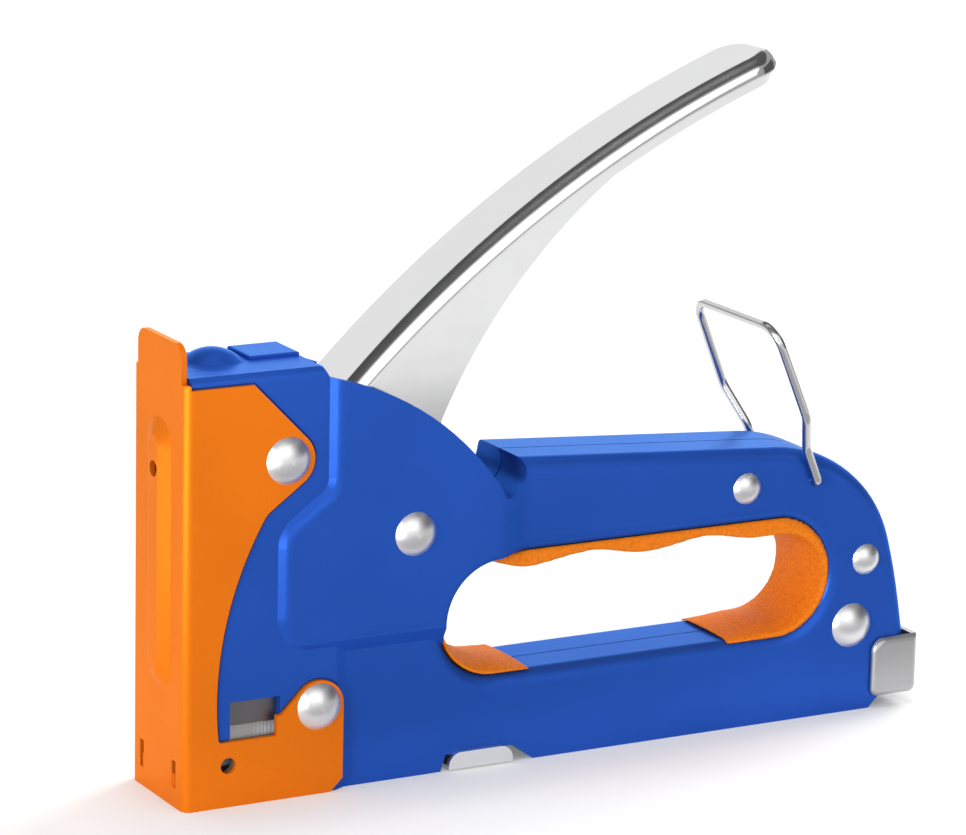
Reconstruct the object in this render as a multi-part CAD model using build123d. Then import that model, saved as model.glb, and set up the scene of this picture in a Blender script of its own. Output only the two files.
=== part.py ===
from build123d import *
import math
import os

# Light-duty hand staple gun, in millimetres.
# While it is built, X runs back from the front of the nose, Y = 0 is the mid-plane with the left
# half on -Y, and Z runs up from the base.  At the end the part is moved so that its origin is at
# the middle of its base.

# Pressed shells
SHEET = 1.2  # wall of the two shells
BEND = 2.6  # outer bend radius where a side turns into a flange
NOSE_BEND = 1.6  # outer bend radius along the nose top
SEAM = 0.3  # gap between the two shells along the seam
HALF_HANDLE = 8.9  # half-width over the handle, the rear and the magazine
HALF_NOSE = 9.5  # half-width at the seats of the nose plate's cheeks
HALF_FIELD = 10.0  # half-width of the nose field round those seats
HALF_BULGE = 11.2  # half-width over the raised field round the lever pivot

# Side view of the shells
NOSE_TOP = 74.4
NOSE_TOP_END = 25.6
NOSE_FIELD_END = 28.6  # where the nose field steps down to the magazine side
NOSE_FIELD_RAMP = 2.2
ARCH_CENTER = (14.2, 19.5)
ARCH_RADIUS = 54.5
ARCH_FRONT = 26.6
ARCH_REAR = 60.6
NOTCH_SAG = (64.5, 49.9)  # the notch between arch and handle passes here
HANDLE_FRONT = (64.8, 54.2)
HANDLE_FALL = 4.0  # degrees that the handle top falls to the rear
HANDLE_TOP_LENGTH = 52.8
REAR_RADII = (28.1, 25.3, 113.8)
REAR_TURNS = (41.9, 27.7, 6.4)  # degrees that each rear arc turns
REAR_RUN = 1.0  # how far the rear edge runs on behind the last arc
REAR_CHAMFER = 7.8
MOUTH_GAP = 0.45  # over the staples where the rear is open for the magazine rail
CLIP_FRONT = 50.8
CLIP_LENGTH = 12.6
NOTCH_GAP = 0.3  # from the clip to the notch that it sits in
NOTCH_FRONT_RAMP = 0.9
NOTCH_REAR_RAMP = 4.2
CLIP_NOTCH_HEIGHT = 3.0

# Finger hole
HOLE_FRONT = 49.4
HOLE_LENGTH = 78.8
HOLE_LOW = 16.0
HOLE_HEIGHT = 21.4

# Raised field round the lever pivot
BULGE_FRONT = 18.9
BULGE_STEP = 9.3  # how far the field's upper front edge stands back
BULGE_LOW = 27.2
BULGE_KNEE = 46.3
BULGE_KNEE_RISE = 6.6
BULGE_ROUND = 4.6
BULGE_RAMP_START = 60.0
BULGE_RAMP = 5.0
BULGE_RAMP_ROUND = 6.0
RAMP_STEPS = 6  # sections along the ramp
ROLL_STEPS = 4  # sections round a rolled edge
BULGE_SLOPE = 1.3  # how far the field's sides lean out, per mm of height
BULGE_EDGE = 2.0
LIP = 1.0  # rolled edge of the finger hole in the raised field

# Side window that shows the staples
WINDOW_FRONT = 8.7
WINDOW_LENGTH = 9.3
WINDOW_LOW = 9.6
WINDOW_HEIGHT = 8.6

# Lap and dome on the nose top of the right shell
LAP_LENGTH = 9.2
LAP_HEIGHT = 0.6
LAP_REACH = 0.4
LAP_EDGE = 0.3
DOME_CENTER = (10.6, 2.2)
DOME_RADIUS = 5.8
DOME_HEIGHT = 2.2
DOME_ROOT = 1.6  # hollow round at the dome's foot

# Nose plate
PLATE = 1.0
PLATE_FOLD = 1.5
SHOULDER_DROP = 1.0  # plate's shoulders below the nose top
TONGUE_HEIGHT = 6.6  # tongue above the shoulders
TONGUE_INSET = 1.9
TONGUE_ROUND = 2.6
BEAD_LOW = 19.5
BEAD_LENGTH = 46.7
BEAD_HALF = 4.8
BEAD_TOP_HALF = 1.7
BEAD_HEIGHT = 1.1
PLATE_HOLE = 1.4
BEAD_HOLE_Z = 57.4
CHEEK_HOLE = (8.2, 7.3)
CHEEK_HOLE_CLEAR = 1.0  # shell's hole behind it, wider all round
TAB_Y = 6.4
TAB_Z = 5.8
TAB_SLOT = (1.5, 4.8)
TAB_REACH = 1.2
TAB_SET = 0.2
CHEEK_GAP = 0.4  # round the cheeks in their seats
CHEEK_DROP = 0.8  # cheeks' top edge below the shoulders
CHEEK_TOP_END = 12.5
CHEEK_BOSS = 4.9
CHEEK_NECK = 6.4  # cheek's width at the window
CHEEK_WAIST = (15.0, 50.2)  # upper end of the cheek's hollow rear edge
CHEEK_ARC_RADIUS = 61.7
CHEEK_SILL = 11.4
CHEEK_WINDOW_END = 17.2
CHEEK_STEP = 3.5  # step behind the window, above the sill
CHEEK_LOWER_BOSS = 4.6
CHEEK_BOSS_LOW = -53.0  # degrees where the upper boss's arc ends and starts
CHEEK_BOSS_HIGH = 45.0
CHEEK_LOWER_BOSS_TURN = 135.0
CHEEK_CORNER = 2.3
CHEEK_BLEND = 4.0
CHEEK_NECK_ROUND = 0.7

# Rivets: side-view place, shank radius, head radius, head height
NOSE_UPPER = (18.9, 59.1)
NOSE_LOWER = (25.2, 15.5)
PIVOT = (42.7, 44.0)
HANDLE_RIVET = (110.2, 44.2)
REAR_UPPER = (136.1, 28.3)
REAR_LOWER = (133.5, 16.2)
BIG_HEAD = (4.1, 1.9)
PIVOT_HEAD = (3.85, 1.8)
SMALL_HEAD = (2.85, 1.4)
SHANK = 2.0
THIN_SHANK = 1.45
PIVOT_SHANK = 2.5
FIT = 0.05  # radial clearance of a pin in its hole
SPACER_RADIUS = 3.4

# Lever
CREST_CENTER = (188.1, -86.7)
CREST_RADIUS = 221.8
LEVER_HALF = 8.4
LEVER_SHEET = 1.2
BAND_DEPTH = 4.6
LEVER_EDGE = 3.0
LEVER_FOOT_X = 28.6
LEVER_TIP_X = 116.6
LEVER_TIP_ROUND = 6.8
LEVER_TIP_TRIM = (3.2, 3.2)  # lower corner cut off the tip: length, height
WEB_HALF = 6.5
WEB_END_X = 90.6  # where the webs run out into the channel
WEB_REAR = (49.7, 62.0)  # where the webs' rear edge leaves the underside arc
UNDER_RADIUS = 102.4
HUB_RADIUS = 8.0
BUSH_RADIUS = 4.0
BUSH_GAP = 0.3

# Lifter on the lever
LIFTER_HALF = 1.5
LIFTER_ARM = 25.0
LIFTER_DROP = 24.0  # degrees that the arm points below level at rest
LIFTER_TIP = 1.8
LIFTER_HUB = 8.3
LIFTER_ROOT = 3.0
LIFTER_PIN = 1.0
LIFTER_PIN_RADIUS = 6.9
LIFTER_PIN_ANGLES = (70.0, 110.0)
LIFT_GAP = 0.35

# Power spring, plunger and driver
SPRING_X = 9.3
SPRING_MEAN = 5.4
SPRING_WIRE = 1.9
SPRING_TURNS = 5
SPRING_GAP = 0.45
SEAT_THICK = 1.0
SEAT_RADIUS = 7.2
SEAT_BOSS = 3.6
SEAT_BOSS_HEIGHT = 3.0
BLADE = 1.0
BLADE_GAP = 0.3
BLADE_HALF = 5.6
BLADE_LOW = 1.0
PLUNGER_HALF = 7.6
PLUNGER_REAR = 15.2
PLUNGER_LOW = 33.4
PLUNGER_HEIGHT = 7.6
PLUNGER_EDGE = 0.8
LUG_REAR = 19.0
LUG_HALF = 3.0
LUG_THICK = 3.0
DRIVER_RIVET_Z = 37.2
DRIVER_RIVET_HEAD = 2.0
DRIVER_RIVET_SHANK = 1.2
DRIVER_RIVET_THICK = 0.5
DRIVER_RIVET_LENGTH = 6.0
STOP_HEIGHT = 4.0
STOP_FRONT_GAP = 0.5
STOP_GAP = 0.1
STOP_RIB = 1.6

# Lever return spring
RETURN_MEAN = 5.0
RETURN_WIRE = 0.7
RETURN_TURNS = 2
RETURN_START_Y = 2.15
RETURN_PITCH = 1.25
RETURN_LEG = 5.0

# Lock bail
BAIL_PIVOT = (124.4, 44.0)
BAIL_LEAN = 22.7  # degrees forward of upright
BAIL_WIRE = 0.8
BAIL_REACH = 32.4
BAIL_GAP = 0.15
BAIL_PIN_IN = 2.4
BAIL_STRAIGHT = 7.3
BAIL_KINK = 14.6
BAIL_KINK_HALF = 14.0
BAIL_TOP_HALF = 13.5
BAIL_CORNER = 4.0
BAIL_BEND = 1.0

# Staple magazine
STAPLE_HALF = 5.65
STAPLE_WIRE = 0.7
CROWN_TOP = 13.75
CROWN_THICK = 0.5
STAPLE_LEG = 8.0
STRIP_GAP = 0.5  # from the blade to the first staple
STRIP_LENGTH = 53.2
RAIL_GAP = 0.15
RAIL_TOP_GAP = 0.35
RAIL_SHEET = 0.8
RAIL_SET = 0.4  # rail's front behind the first staple
RAIL_HEIGHT = 8.3
CHANNEL_SHEET = 0.9
CHANNEL_END_GAP = 0.6  # from the channel to the end cap
CHANNEL_HEIGHT = 10.9
COVER_FRONT = 9.3
COVER_LENGTH = 19.7
COVER_RISE = 2.5  # cover's top above the lower nose rivet's axis
COVER_HEIGHT = 4.5
COVER_SHEET = 0.9
COVER_GAP = 0.2
PUSHER_GAP = 0.3
PUSHER_LENGTH = 12.0
PUSHER_SHEET = 0.7
PUSHER_FIT = 0.2
PUSHER_LUG = 3.0
PUSHER_LUG_HALF = 3.0
ROD_RADIUS = 1.1
ROD_Z = 8.2
ROD_FRONT = 40.0
ROD_FIT = 0.08
PUSHER_SPRING_MEAN = 2.3
PUSHER_SPRING_WIRE = 0.6
PUSHER_SPRING_TURNS = 9

# End cap and bottom clip
CAP_SHEET = 1.0
CAP_GAP = 0.3
CAP_REAR_GAP = 0.8  # from the shells' rear edge to the cap
CAP_LENGTH = 9.6
CAP_LOW = 2.2
CAP_HEIGHT = 11.0
CAP_ROUND = 2.6
CAP_SMALL_ROUND = 1.4
CAP_FOLD = 1.2
RAIL_RIVET = 0.9
RAIL_RIVET_Z = (5.9, 10.9)
RAIL_FOOT = 1.0
CLIP_LOW = 0.2
CLIP_HEIGHT = 3.2
CLIP_SHEET = 0.9
CLIP_ROUND = 2.4
CLIP_FOLD = 0.6

# Soft grips in the finger hole
GRIP_HALF = 8.2
GRIP_SEAT = 0.1
GRIP_START_ANGLE = 100.0  # strip's front end on the hole's front arc
GRIP_LEAD = 6.4  # from the front arc's centre to the first wave
GRIP_PITCH = 22.9  # from wave to wave
GRIP_VALLEY_AT = 14.2  # from a wave to the valley behind it
GRIP_WAVES = 3
GRIP_VALLEY = 1.3
GRIP_BUMP = 3.0
GRIP_REAR = 1.5
GRIP_LAST = 1.0  # where the strip leaves the straight, behind the rear arc's centre
GRIP_TAIL = 10.0  # lower end in front of the rear arc's centre
GRIP_TAIL_THICK = 1.0
GRIP_TAIL_BEND = 4.0  # where the tail starts to thicken, in front of the rear arc's centre
GRIP_TIP = 0.5
GRIP_LEAD_SLOPE = 0.3  # rise of the strip's underside at its front end
GRIP_TAIL_SLOPE = 0.1
PAD_START_ANGLE = 172.0
PAD_THICK = 2.0
PAD_CREST = 0.6  # crest in front of the front arc's centre
PAD_TAIL = 7.4  # rear end behind the front arc's centre
PAD_TIP = 0.5
PAD_MIDDLE_ANGLE = 225.0

TOL = 0.02
FAR = 200.0  # longer than the part, for cuts that run right through


# Geometry helpers

def polar(center, radius, angle):
    """Point on a circle, with the angle in degrees."""
    turn = math.radians(angle)
    return (center[0] + radius * math.cos(turn), center[1] + radius * math.sin(turn))


def angle_of(center, point):
    """Direction in degrees from a centre to a point."""
    return math.degrees(math.atan2(point[1] - center[1], point[0] - center[0]))


def above_center(center, radius, x):
    """Upper point of a circle at a given x."""
    return (x, center[1] + math.sqrt(radius ** 2 - (x - center[0]) ** 2))


def arc_about(center, start, end):
    """Circular arc about a centre from start to end, the short way round."""
    first = angle_of(center, start)
    turn = (angle_of(center, end) - first + 180.0) % 360.0 - 180.0
    return CenterArc(center, math.dist(center, start), first, turn)


def side(sketch, near, far):
    """Extrude a side-view sketch from one distance left of the mid-plane to another."""
    return extrude(Plane.XZ.offset(near) * sketch, far - near)


def across(sketch, half):
    """Extrude a side-view sketch equally to both sides of the mid-plane."""
    return side(sketch, -half, half)


def both_sides(part):
    """A left-hand part together with its mirror image."""
    return part + mirror(part, about=Plane.XZ)


def block(x, y, z):
    """Box from pairs of low and high values."""
    size = Box(x[1] - x[0], y[1] - y[0], z[1] - z[0], align=(Align.MIN, Align.MIN, Align.MIN))
    return Pos(x[0], y[0], z[0]) * size


def polygon(*points):
    """Side-view or plan polygon."""
    return make_face(Polyline(*points, close=True))


def rod(place, radius, low_y, high_y):
    """Cylinder across the tool at a side-view place."""
    return side(Pos(place[0], place[1]) * Circle(radius), -high_y, -low_y)


def cross_hole(place, radius):
    """Cutter for a hole through the whole width."""
    return rod(place, radius, -FAR, FAR)


def soften(sketch, corner, radius):
    """Round the sketch corner nearest to a point."""
    nearest = sketch.vertices().sort_by_distance((corner[0], corner[1], 0))[0]
    return fillet(nearest, radius)


# Sizes that follow from the ones above

def shell_front():
    return PLATE + BLADE_GAP


def shoulder():
    return NOSE_TOP - SHOULDER_DROP


def crown_low():
    return CROWN_TOP - CROWN_THICK


def rear_mouth():
    """Height below which the shells' rear is open."""
    return CROWN_TOP + MOUTH_GAP


def rear_edge():
    """X of the shells' upright rear edge."""
    return (handle_curve(0.0)[-1] @ 1).X + REAR_RUN


def cap_rear():
    return rear_edge() + CAP_REAR_GAP + CAP_SHEET


def strip_front():
    return shell_front() + BLADE + STRIP_GAP


def strip_end():
    return strip_front() + STRIP_LENGTH


def plunger_top():
    return PLUNGER_LOW + PLUNGER_HEIGHT


def clip_notch():
    """The four X values of the notch in the bottom edge, front to rear."""
    front = CLIP_FRONT - NOTCH_GAP
    rear = CLIP_FRONT + CLIP_LENGTH + NOTCH_GAP
    return front - NOTCH_FRONT_RAMP, front, rear, rear + NOTCH_REAR_RAMP


# Shell outlines

def handle_curve(inset):
    """Handle top and rear edge, front to rear, moved inwards by inset."""
    fall = math.radians(-HANDLE_FALL)
    start = (HANDLE_FRONT[0] + inset * math.sin(fall), HANDLE_FRONT[1] - inset * math.cos(fall))
    end = (start[0] + HANDLE_TOP_LENGTH * math.cos(fall), start[1] + HANDLE_TOP_LENGTH * math.sin(fall))
    edges = [Line(start, end)]
    for radius, turn in zip(REAR_RADII, REAR_TURNS):
        last = edges[-1]
        edges.append(JernArc(start=last @ 1, tangent=last % 1, radius=radius - inset, arc_size=-turn))
    return edges


def rear_run(curve, x):
    """Height where the last rear arc, run on straight, reaches x."""
    point = curve[-1] @ 1
    slope = curve[-1] % 1
    return point.Y + (x - point.X) * slope.Y / slope.X


def notch_curve():
    """Notch between the arch and the handle's front."""
    return ThreePointArc(above_center(ARCH_CENTER, ARCH_RADIUS, ARCH_REAR), NOTCH_SAG, HANDLE_FRONT)


def notch_flange():
    """Side view of the flange along the notch, which closes the handle's front."""
    curve = notch_curve()
    center = curve.arc_center
    ring = Pos(center.X, center.Y) * (Circle(curve.radius + SHEET) - Circle(curve.radius))
    rays = [center + (curve @ share - center) * (FAR / curve.radius) for share in (0.0, 0.5, 1.0)]
    return ring & polygon((center.X, center.Y), *[(ray.X, ray.Y) for ray in rays])


def shell_face():
    """Side view of a shell's outer edge."""
    front = shell_front()
    arch_front = above_center(ARCH_CENTER, ARCH_RADIUS, ARCH_FRONT)
    arch_rear = above_center(ARCH_CENTER, ARCH_RADIUS, ARCH_REAR)
    curve = handle_curve(0.0)
    rear = rear_edge()
    rear_top = (rear, rear_run(curve, rear))
    n0, n1, n2, n3 = clip_notch()
    edges = [
        Polyline((front, 0), (front, NOSE_TOP), (NOSE_TOP_END, NOSE_TOP), arch_front),
        arc_about(ARCH_CENTER, arch_front, arch_rear),
        notch_curve(),
        *curve,
        Polyline(
            curve[-1] @ 1,
            rear_top,
            (rear, REAR_CHAMFER),
            (rear - REAR_CHAMFER, 0),
            (n3, 0),
            (n2, CLIP_NOTCH_HEIGHT),
            (n1, CLIP_NOTCH_HEIGHT),
            (n0, 0),
            (front, 0),
        ),
    ]
    return make_face([edge for curve_part in edges for edge in curve_part.edges()])


def hollow_face():
    """Side view of the hollow inside a shell, run out through its open edges."""
    curve = handle_curve(SHEET)
    start = curve[0] @ 0
    end = curve[-1] @ 1
    slope = curve[-1] % 1
    top = NOSE_TOP - SHEET
    mouth = rear_mouth()
    edges = [
        *curve,
        Polyline(
            end,
            (end.X - (end.Y - mouth) * slope.X / slope.Y, mouth),
            (FAR, mouth),
            (FAR, -FAR),
            (-FAR, -FAR),
            (-FAR, top),
            (NOSE_TOP_END, top),
            (NOSE_TOP_END, FAR),
            (start.X, FAR),
            (start.X, start.Y),
        ),
    ]
    return make_face([edge for curve_part in edges for edge in curve_part.edges()]) - notch_flange()


def hole_face(grow):
    """Side view of the finger hole, grown all round."""
    slot = SlotOverall(HOLE_LENGTH + 2 * grow, HOLE_HEIGHT + 2 * grow)
    return Pos(HOLE_FRONT + HOLE_LENGTH / 2, HOLE_LOW + HOLE_HEIGHT / 2) * slot


def bulge_face(grow):
    """Side view of the raised field round the lever pivot, open-ended to the rear and top."""
    knee_low = (BULGE_FRONT, BULGE_KNEE)
    knee_high = (BULGE_FRONT + BULGE_STEP, BULGE_KNEE + BULGE_KNEE_RISE)
    low = (BULGE_FRONT, BULGE_LOW)
    face = polygon((knee_high[0], FAR), knee_high, knee_low, low, (FAR, BULGE_LOW), (FAR, FAR))
    for corner in (knee_high, knee_low, low):
        face = soften(face, corner, BULGE_ROUND)
    if grow:
        face = offset(face, grow, kind=Kind.INTERSECTION)
    return face


def ramp_span():
    """Slope of the ramp behind the raised field, and the X values where its rounded ends start and stop."""
    slope = math.atan2(HALF_BULGE - HALF_HANDLE, BULGE_RAMP)
    reach = BULGE_RAMP_ROUND * math.tan(slope / 2.0)
    return slope, BULGE_RAMP_START - reach, BULGE_RAMP_START + BULGE_RAMP + reach


def ramp_half(x):
    """Half-width of the raised field along its ramp."""
    slope, start, end = ramp_span()
    bend = BULGE_RAMP_ROUND * math.sin(slope)
    if x < start + bend:
        return HALF_BULGE - BULGE_RAMP_ROUND + math.sqrt(BULGE_RAMP_ROUND ** 2 - max(0.0, x - start) ** 2)
    if x > end - bend:
        return HALF_HANDLE + BULGE_RAMP_ROUND - math.sqrt(BULGE_RAMP_ROUND ** 2 - (end - x) ** 2)
    return HALF_BULGE - (x - BULGE_RAMP_START) * math.tan(slope)


def bulge_ramp():
    """Plan of the cut that lets the raised field run out behind the pivot, with rounded ends."""
    slope, start, end = ramp_span()
    turn = math.degrees(slope)
    first = JernArc(start=(start, -HALF_BULGE), tangent=(1, 0), radius=BULGE_RAMP_ROUND, arc_size=turn)
    last = JernArc(start=(end, -HALF_HANDLE), tangent=(-1, 0), radius=BULGE_RAMP_ROUND, arc_size=turn)
    edges = [
        first,
        Line(first @ 1, last @ 1),
        last,
        Polyline(last @ 0, (end, FAR), (2 * FAR, FAR), (2 * FAR, -FAR), (start, -FAR), first @ 0),
    ]
    return make_face([edge for part in edges for edge in part.edges()])


def rolled_run(first, last, radii, rise):
    """Cutter that rolls an edge of the ramp over, between two side-view points of that edge."""
    _, _, end = ramp_span()
    sections = []
    for step in range(RAMP_STEPS + 1):
        share = step / RAMP_STEPS
        x = first[0] + (last[0] - first[0]) * share
        z = first[1] + (last[1] - first[1]) * share
        radius = radii[0] + (radii[1] - radii[0]) * share
        near = -ramp_half(min(x, end))
        clear = z - rise * SHEET
        points = [(near + radius, clear), (near - SHEET, clear), (near - SHEET, z + rise * radius)]
        for index in range(ROLL_STEPS + 1):
            turn = math.radians(90.0 * index / ROLL_STEPS)
            across_y = near + radius * (1.0 - math.cos(turn))
            points.append((across_y, z + rise * radius * (1.0 - math.sin(turn))))
        sections.append(Plane.YZ.offset(x) * polygon(*points))
    return loft(sections, ruled=True)


def bulge_body():
    """Raised field before it is trimmed to the shell's outline."""
    depth = HALF_BULGE - HALF_HANDLE + SHEET
    top = Plane.XZ.offset(HALF_BULGE) * bulge_face(0.0)
    base = Plane.XZ.offset(HALF_BULGE - depth) * bulge_face(depth * BULGE_SLOPE)
    body = loft([base, top], ruled=True)
    rim = body.edges().filter_by_position(Axis.Y, -HALF_BULGE - TOL, -HALF_BULGE + TOL)
    rim = [edge for edge in rim if (edge @ 0.5).X < FAR - TOL and (edge @ 0.5).Z < FAR - TOL]
    body = fillet(rim, BULGE_EDGE)
    return body - extrude(Pos(0, 0, -FAR) * bulge_ramp(), 3 * FAR)


def nose_field(half, inset):
    """Nose field in plan, with its ramp down to the magazine side, moved inwards by inset."""
    front = -FAR if inset else shell_front()
    middle = FAR if inset else -SEAM / 2
    face = polygon(
        (front, middle),
        (NOSE_FIELD_END + NOSE_FIELD_RAMP, middle),
        (NOSE_FIELD_END + NOSE_FIELD_RAMP, -HALF_HANDLE + inset),
        (NOSE_FIELD_END, -half + inset),
        (front, -half + inset),
    )
    return extrude(Pos(0, 0, -FAR) * face, 3 * FAR)


def hole_lip():
    """Cutter that rolls the finger hole's edge over where it meets the raised field."""
    sections = []
    for index in range(ROLL_STEPS + 1):
        turn = math.radians(90.0 * index / ROLL_STEPS)
        depth = HALF_BULGE - LIP * (1.0 - math.sin(turn))
        sections.append(Plane.XZ.offset(depth) * hole_face(LIP * (1.0 - math.cos(turn))))
    return loft(sections, ruled=True)


def ramp_rolls():
    """Cutters that carry the hole's lip and the handle's bend along the ramp."""
    _, front, _ = hole_middle()
    _, _, end = ramp_span()
    high = HOLE_LOW + HOLE_HEIGHT
    fall = (end - HANDLE_FRONT[0]) * math.tan(math.radians(HANDLE_FALL))
    lip = rolled_run((front[0], high), (end, high), (LIP, BEND), 1.0)
    return lip + rolled_run(HANDLE_FRONT, (end, HANDLE_FRONT[1] - fall), (BEND, BEND), -1.0)


def shell_half():
    """Left shell without holes."""
    wall = shell_face() - hole_face(0.0)
    handle = side(wall, SEAM / 2, HALF_HANDLE)
    rim = handle.edges().filter_by_position(Axis.Y, -HALF_HANDLE - TOL, -HALF_HANDLE + TOL)
    flanged = [edge for edge in rim if is_flanged(edge @ 0.5)]
    handle = fillet(flanged, BEND)
    nose = nose_field(HALF_FIELD, 0.0) & side(wall, SEAM / 2, HALF_FIELD)
    ridge = [edge for edge in nose.edges() if abs((edge @ 0.5).Z - NOSE_TOP) < TOL
             and abs((edge @ 0.5).Y + HALF_FIELD) < TOL]
    nose = fillet(ridge, NOSE_BEND) - side(offset(cheek_face(), CHEEK_GAP), HALF_NOSE, FAR)
    bulge = (bulge_body() & side(wall, SEAM / 2, HALF_BULGE)) - hole_lip() - ramp_rolls()
    hollow_wall = hollow_face() - hole_face(SHEET)
    hollow = side(hollow_wall, -FAR, HALF_HANDLE - SHEET)
    hollow += nose_field(HALF_NOSE, SHEET) & side(hollow_wall, -FAR, HALF_NOSE - SHEET)
    hollow += (Pos(0, SHEET, 0) * bulge_body()) & side(hollow_wall, -FAR, HALF_BULGE - SHEET)
    return handle + nose + bulge - hollow


def is_flanged(point):
    """True on the shell edges that turn into a flange: handle top, rear and finger hole."""
    along_hole = HOLE_FRONT - TOL < point.X < HOLE_FRONT + HOLE_LENGTH + TOL
    in_hole = along_hole and HOLE_LOW - TOL < point.Z < HOLE_LOW + HOLE_HEIGHT + TOL
    on_handle = point.X > HANDLE_FRONT[0] and point.Z > REAR_CHAMFER
    return in_hole or on_handle


def cheek_hole_clear():
    """Cutter behind the cheeks' small hole, wide enough to stay dark."""
    return cross_hole(CHEEK_HOLE, PLATE_HOLE + CHEEK_HOLE_CLEAR)


def shell_holes():
    """Cutter for the rivet holes, bail holes, side windows and drain holes of both shells."""
    holes = cheek_hole_clear() + cross_hole(BAIL_PIVOT, BAIL_WIRE + FIT)
    for place, shank in RIVET_SHANKS:
        holes += cross_hole(place, shank + FIT)
    window = block(
        (WINDOW_FRONT, WINDOW_FRONT + WINDOW_LENGTH), (-FAR, FAR), (WINDOW_LOW, WINDOW_LOW + WINDOW_HEIGHT)
    )
    return holes + window


RIVET_SHANKS = (
    (NOSE_UPPER, SHANK),
    (NOSE_LOWER, THIN_SHANK),
    (PIVOT, PIVOT_SHANK),
    (HANDLE_RIVET, SHANK),
    (REAR_UPPER, SHANK),
    (REAR_LOWER, SHANK),
)


def left_shell():
    return shell_half() - shell_holes()


def dome():
    """Low dome over the spring: a ball that runs out in a hollow round."""
    ball = (DOME_RADIUS ** 2 + DOME_HEIGHT ** 2) / (2.0 * DOME_HEIGHT) - DOME_ROOT
    ball_center = (0.0, DOME_HEIGHT - ball)
    root_center = (DOME_RADIUS, DOME_ROOT)
    join = polar(ball_center, ball, angle_of(ball_center, root_center))
    foot = (DOME_RADIUS, 0.0)
    edges = [
        arc_about(ball_center, (0.0, DOME_HEIGHT), join),
        arc_about(root_center, join, foot),
        Polyline(foot, (0.0, 0.0), (0.0, DOME_HEIGHT)),
    ]
    face = make_face([edge for part in edges for edge in part.edges()])
    return Pos(*DOME_CENTER, NOSE_TOP) * revolve(Plane.XZ * face, Axis.Z)


def right_shell():
    """Mirror half, with the lap over the other half's nose flange and the dome over the spring."""
    half = mirror(shell_half() - shell_holes(), about=Plane.XZ)
    high = NOSE_TOP + LAP_HEIGHT
    lap_span = (NOSE_TOP_END - LAP_LENGTH, NOSE_TOP_END)
    lap = block(lap_span, (-LAP_REACH, HALF_FIELD - NOSE_BEND), (NOSE_TOP, high))
    top_edges = lap.edges().filter_by_position(Axis.Z, high - TOL, high + TOL)
    return half + fillet(top_edges, LAP_EDGE) + dome()


# Nose plate

def cheek_face():
    """Side view of the nose plate's cheek."""
    top = shoulder() - CHEEK_DROP
    neck = (CHEEK_NECK, CHEEK_SILL)
    boss_low = polar(NOSE_UPPER, CHEEK_BOSS, CHEEK_BOSS_LOW)
    boss_high = polar(NOSE_UPPER, CHEEK_BOSS, CHEEK_BOSS_HIGH)
    lower_start = polar(NOSE_LOWER, CHEEK_LOWER_BOSS, CHEEK_LOWER_BOSS_TURN)
    lower_end = polar(NOSE_LOWER, CHEEK_LOWER_BOSS, 0.0)
    step = CHEEK_SILL + CHEEK_STEP
    step_end = lower_start[0] - (lower_start[1] - step)
    edges = [
        Polyline((0, 0), (0, top), (CHEEK_TOP_END, top), boss_high),
        arc_about(NOSE_UPPER, boss_high, boss_low),
        Line(boss_low, CHEEK_WAIST),
        RadiusArc(neck, CHEEK_WAIST, CHEEK_ARC_RADIUS),
        Polyline(
            neck, (CHEEK_WINDOW_END, CHEEK_SILL), (CHEEK_WINDOW_END, step), (step_end, step), lower_start
        ),
        arc_about(NOSE_LOWER, lower_start, lower_end),
        Polyline(lower_end, (lower_end[0], CHEEK_CORNER), (lower_end[0] - CHEEK_CORNER, 0), (0, 0)),
    ]
    face = make_face([edge for part in edges for edge in part.edges()])
    face = soften(face, CHEEK_WAIST, CHEEK_BLEND)
    return soften(face, neck, CHEEK_NECK_ROUND)


def front_face():
    """Front view of the nose plate, drawn with Y to the right and Z up."""
    half = HALF_NOSE + PLATE
    tongue = half - TONGUE_INSET
    low = shoulder()
    high = low + TONGUE_HEIGHT
    face = polygon(
        (-half, 0), (half, 0), (half, low), (tongue, low),
        (tongue, high), (-tongue, high), (-tongue, low), (-half, low)
    )
    for y in (-tongue, tongue):
        face = soften(face, (y, high), TONGUE_ROUND)
    return face


def bead(shift):
    """Raised bead on the nose plate's front, moved back by shift."""
    middle = BEAD_LOW + BEAD_LENGTH / 2
    narrow = BEAD_HALF - BEAD_TOP_HALF
    base = Pos(0, middle) * Rot(0, 0, 90) * SlotOverall(BEAD_LENGTH, 2 * BEAD_HALF)
    top = Pos(0, middle) * Rot(0, 0, 90) * SlotOverall(BEAD_LENGTH - 2 * narrow, 2 * BEAD_TOP_HALF)
    return loft([Plane.YZ.offset(shift) * base, Plane.YZ.offset(shift - BEAD_HEIGHT) * top], ruled=True)


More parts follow.
